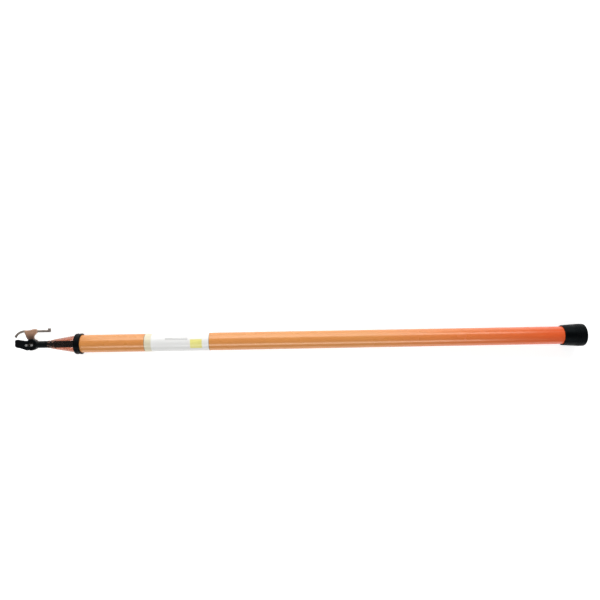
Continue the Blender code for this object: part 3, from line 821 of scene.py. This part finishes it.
def make_cone():
    """A thin moulded shell with a rolled rim, a soft knee and a thick neck with a sleeve on the ferrule."""
    back, tip = stations("nose_cone")
    wide = outer_radius("nose_cone")
    grip = outer_radius("head_ferrule") + SEAT
    front = tip - CONE_SLEEVE
    slim = grip + CONE_NECK_WALL
    knee, land = back + CONE_SKIRT, front - CONE_LAND
    slope = (wide - slim) / (front - knee)
    at_land = slim + slope * CONE_LAND - CONE_WALL
    rim, roll = CONE_RIM
    profile = [(tip, grip, 0.3 * MM), (tip, grip + CONE_WALL, 0.6 * MM), (front, grip + CONE_WALL, 1.0 * MM)]
    profile += [(front, slim, 2.0 * MM), (knee, wide, 8.0 * MM), (back + rim, wide, 0.4 * MM)]
    profile += [(back, wide - roll, 0.5 * MM), (back, wide - CONE_WALL, 0.4 * MM)]
    profile += [(knee, wide - CONE_WALL, 8.0 * MM), (land, at_land, 1.0 * MM), (land, grip, 0.4 * MM)]
    cone = turned("nose_cone", rounded(profile, True, steps=8), "amber_plastic")
    cone.visible_shadow = False  # light passes through it


# Head, hook and clamp: castings made from the CAD shapes with soft edges

CAST_GRAIN = 0.35 * MM  # voxel size
NUT_GRAIN = 0.25 * MM
WELD = 0.00001  # CAD vertices nearer than this are one
BEAD_STEPS = 12


def casting(node, material, grain, passes, extras=()):
    """A cast copy of a CAD node: its shape and any extra ribs made one skin, with edges softened.
    """
    bm = bmesh.new()
    bm.from_mesh(frame["nodes"][node].data)
    for extra in extras:
        merge(bm, extra)
    bmesh.ops.remove_doubles(bm, verts=bm.verts, dist=WELD)
    obj = finish_mesh(f"{node}_cast", bm, material, smooth=False)
    remesh = obj.modifiers.new("skin", "REMESH")
    remesh.mode = "VOXEL"
    remesh.voxel_size = grain
    soften = obj.modifiers.new("soften", "SMOOTH")
    soften.factor = 0.5
    soften.iterations = passes
    apply_modifiers(obj, material)
    return stand_in(obj, node)


def torus(centre, ring, tube):
    """A round bead in a circle about Z, to be fused into a casting."""
    angles = [2 * math.pi * i / BEAD_STEPS for i in range(BEAD_STEPS)]
    profile = [(tube * math.sin(a), ring + tube * math.cos(a)) for a in angles]
    bm = turned_bmesh(profile, True, RING_SIDES, Matrix.Translation(centre))
    bmesh.ops.recalc_face_normals(bm, faces=bm.faces)
    return bm


def bar(points, radius):
    """A round bar bent smoothly through the points, to be fused into a casting."""
    curve = bpy.data.curves.new("bar", "CURVE")
    curve.dimensions = "3D"
    curve.bevel_depth = radius
    curve.bevel_resolution = 3
    curve.use_fill_caps = True
    spline = curve.splines.new("BEZIER")
    spline.bezier_points.add(len(points) - 1)
    for knot, point in zip(spline.bezier_points, points):
        knot.co = point
        knot.handle_left_type = "AUTO"
        knot.handle_right_type = "AUTO"
    obj = bpy.data.objects.new("bar", curve)
    bm = bmesh.new()
    bm.from_mesh(obj.to_mesh())
    obj.to_mesh_clear()
    bpy.data.objects.remove(obj)
    bmesh.ops.recalc_face_normals(bm, faces=bm.faces)
    return bm


# Raised borders cast on the hook's neck, in mm from the clamp bolt's axis
HOOK_BORDERS = (
    ((-11.0, 14.5), (-16.8, 20.5), (-19.4, 27.0), (-22.2, 32.6), (-21.6, 37.0), (-14.0, 38.6)),
    ((-1.0, 15.5), (-0.6, 22.0), (3.4, 28.6), (7.8, 33.4), (9.2, 38.2), (3.4, 41.6), (-5.0, 40.2)),
)
HOOK_BORDER_SIZE = 1.1 * MM
HOOK_FACE = -1.6 * MM  # borders' middle, a little inside the neck's front face

EAR_RIM = 14.2 * MM
EAR_RIM_SIZE = 1.1 * MM
EAR_RIM_SINK = 0.6 * MM  # rim's centre below the washer


def make_castings():
    eye = eye_centre()
    seat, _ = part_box("washer")
    rim = torus(eye + Vector((0, 0, seat.z - EAR_RIM_SINK)), EAR_RIM, EAR_RIM_SIZE)
    casting("universal_head", "black_metal", CAST_GRAIN, 4, [rim])
    borders = [[eye + Vector((x * MM, y * MM, HOOK_FACE)) for x, y in border] for border in HOOK_BORDERS]
    bars = [bar(points, HOOK_BORDER_SIZE) for points in borders]
    casting("disconnect_hook", "bronze", CAST_GRAIN, 5, bars)
    casting("wing_nut", "wing_steel", NUT_GRAIN, 6)


WASHER_HOLE = 4.2 * MM
WASHER_EDGE = 0.35 * MM


def make_washer():
    low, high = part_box("washer")
    radius = (high.x - low.x) / 2
    corners = ((high.z, radius), (low.z, radius), (low.z, WASHER_HOLE), (high.z, WASHER_HOLE))
    profile = rounded([(*corner, WASHER_EDGE) for corner in corners], True)
    turned("washer", profile, "black_metal", sides=RING_SIDES, matrix=Matrix.Translation(eye_centre()))


BOLT_RADIUS = 4.0 * MM
BOLT_THREAD = 12.0 * MM  # length, from the bolt's end
BOLT_THREAD_STOP = 0.8 * MM  # plain end beyond the last turn
BOLT_THREAD_PITCH = 1.25 * MM
BOLT_THREAD_DEPTH = 0.55 * MM
BOLT_CREST_WEAR = 0.05 * MM
BOLT_CHAMFER = 0.9 * MM
BOLT_HEAD = 5.0 * MM
BOLT_HEAD_EDGE = 0.35 * MM
BOLT_HEAD_TURN = math.pi / 24


def make_bolt():
    """A hexagon bolt with a chamfered head and a cut thread above the ear."""
    low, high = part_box("clamp_bolt")
    foot = low.z + BOLT_HEAD / 2
    thread_start = high.z - BOLT_THREAD
    turns = int((high.z - BOLT_THREAD_STOP - thread_start) / BOLT_THREAD_PITCH)
    profile = [(foot, 0), (foot, BOLT_RADIUS), (thread_start, BOLT_RADIUS)]
    for i in range(turns):
        root = thread_start + (i + 0.5) * BOLT_THREAD_PITCH
        crest = thread_start + (i + 1) * BOLT_THREAD_PITCH
        profile += [(root, BOLT_RADIUS - BOLT_THREAD_DEPTH), (crest, BOLT_RADIUS - BOLT_CREST_WEAR)]
    profile += [(high.z, BOLT_RADIUS - BOLT_CHAMFER), (high.z, 0)]
    bm = turned_bmesh(profile, False, SMALL_SIDES, Matrix.Translation(eye_centre()))
    head = bmesh.new()
    across = (high.x - low.x) / 2
    place = Matrix.Translation(eye_centre() + Vector((0, 0, foot))) @ Matrix.Rotation(BOLT_HEAD_TURN, 4, "Z")
    bmesh.ops.create_cone(
        head, cap_ends=True, segments=6, radius1=across, radius2=across, depth=BOLT_HEAD, matrix=place
    )
    bmesh.ops.bevel(head, geom=head.edges[:], offset=BOLT_HEAD_EDGE, segments=3, affect="EDGES", profile=0.5)
    merge(bm, head)
    obj = finish_mesh("clamp_bolt_fine", bm, "black_metal")
    stand_in(obj, "clamp_bolt")


def make_head():
    make_ferrule()
    make_pins()
    make_cone()
    make_castings()
    make_washer()
    make_bolt()


def finish_cad_nodes():
    """CAD nodes that stay as they are get the same finishes."""
    kept = {f"{name}_button_spring": "steel" for name in SECTIONS[1:]}
    kept["tip_foam_core"] = "foam"
    for node, material in kept.items():
        mesh = frame["nodes"][node].data
        paint(mesh, material)
        mesh.shade_smooth()


# Studio: a white floor that keeps a soft shadow, and long soft boxes either side of the pole

POLE_MIDDLE = (-0.8, 0, 0)

FLOOR_SIZE = 30
FLOOR_GAP = 0.05 * MM  # under the stick
FLOOR_COLOUR = (0.90, 0.90, 0.90, 1)
FLOOR_LIFT = 0.55  # glow that the camera sees, so that the floor comes out white

ZENITH = 0.18
HORIZON = 0.3
HORIZON_TOP = 0.5  # height of the view direction at which the sky has faded to the zenith's level

# Name, centre, length, width and watts of each lamp. The key and a low side panel stand on the hook's side
# of the pole, and the fill stands opposite.
LAMPS = (
    ("key", (-0.75, 1.76, 1.33), 3.4, 0.80, 33.0),
    ("side", (-1.0, 2.05, 0.45), 2.6, 1.0, 21.0),
    ("fill", (-0.85, -1.55, 1.57), 3.1, 0.65, 30.0),
)

CAMERA_PLACE = (-0.7971, 0.1125, 1.505)
CAMERA_ROLL = math.radians(-1.03)
CAMERA_LENS = 31.98


def make_floor():
    """A floor that glows for the camera and in reflections, and is a plain pale surface to the light."""
    low, _ = CAD_BOX
    bm = bmesh.new()
    bmesh.ops.create_grid(bm, x_segments=1, y_segments=1, size=FLOOR_SIZE)
    mesh = bpy.data.meshes.new("floor")
    bm.to_mesh(mesh)
    bm.free()
    material = bpy.data.materials.new("floor")
    material.use_nodes = True
    tree = material.node_tree
    shader = tree.nodes["Principled BSDF"]
    shader.inputs["Base Color"].default_value = FLOOR_COLOUR
    shader.inputs["Roughness"].default_value = 0.9
    shader.inputs["Specular IOR Level"].default_value = 0.1
    rays = tree.nodes.new("ShaderNodeLightPath")
    level = rays.outputs["Is Camera Ray"]
    for kind in ("Is Glossy Ray", "Is Transmission Ray"):
        either = tree.nodes.new("ShaderNodeMath")
        either.operation = "MAXIMUM"
        tree.links.new(level, either.inputs[0])
        tree.links.new(rays.outputs[kind], either.inputs[1])
        level = either.outputs[0]
    lift = tree.nodes.new("ShaderNodeMath")
    lift.operation = "MULTIPLY"
    lift.inputs[1].default_value = FLOOR_LIFT
    tree.links.new(level, lift.inputs[0])
    shader.inputs["Emission Color"].default_value = (1, 1, 1, 1)
    tree.links.new(lift.outputs[0], shader.inputs["Emission Strength"])
    mesh.materials.append(material)
    floor = add_object("floor", mesh)
    floor.location = (POLE_MIDDLE[0], POLE_MIDDLE[1], low[2] - FLOOR_GAP)


def make_world():
    """Dim, and dimmer overhead, so that black pieces stay black. The camera sees plain white."""
    world = bpy.data.worlds.new("studio")
    world.use_nodes = True
    tree = world.node_tree
    background = tree.nodes["Background"]
    background.inputs["Color"].default_value = (1, 1, 1, 1)
    coords = tree.nodes.new("ShaderNodeTexCoord")
    split = tree.nodes.new("ShaderNodeSeparateXYZ")
    fade = tree.nodes.new("ShaderNodeMapRange")
    for socket, value in {"From Max": HORIZON_TOP, "To Min": HORIZON, "To Max": ZENITH}.items():
        fade.inputs[socket].default_value = value
    rays = tree.nodes.new("ShaderNodeLightPath")
    seen = tree.nodes.new("ShaderNodeMath")
    seen.operation = "MAXIMUM"
    tree.links.new(coords.outputs["Generated"], split.inputs["Vector"])
    tree.links.new(split.outputs["Z"], fade.inputs["Value"])
    tree.links.new(fade.outputs["Result"], seen.inputs[0])
    tree.links.new(rays.outputs["Is Camera Ray"], seen.inputs[1])
    tree.links.new(seen.outputs[0], background.inputs["Strength"])
    bpy.context.scene.world = world


def soft_box(name, centre, length, width, power):
    """A long soft box that faces the pole's middle, with its length along the pole."""
    light = bpy.data.lights.new(name, "AREA")
    light.shape = "RECTANGLE"
    light.size = length
    light.size_y = width
    light.energy = power
    lamp = add_object(name, light)
    lamp.location = centre
    facing = Vector(POLE_MIDDLE) - Vector(centre)
    lamp.rotation_euler = facing.to_track_quat("-Z", "Y").to_euler()


def make_camera():
    camera = add_object("camera", bpy.data.cameras.new("camera"))
    camera.data.lens = CAMERA_LENS
    camera.location = CAMERA_PLACE
    camera.rotation_euler = (0, 0, CAMERA_ROLL)
    bpy.context.scene.camera = camera


make_pole()
make_cap()
make_bumper()
make_collar()
make_label()
make_head()
finish_cad_nodes()
make_floor()
make_world()
for lamp in LAMPS:
    soft_box(*lamp)
make_camera()
bpy.context.scene.view_settings.view_transform = "Standard"
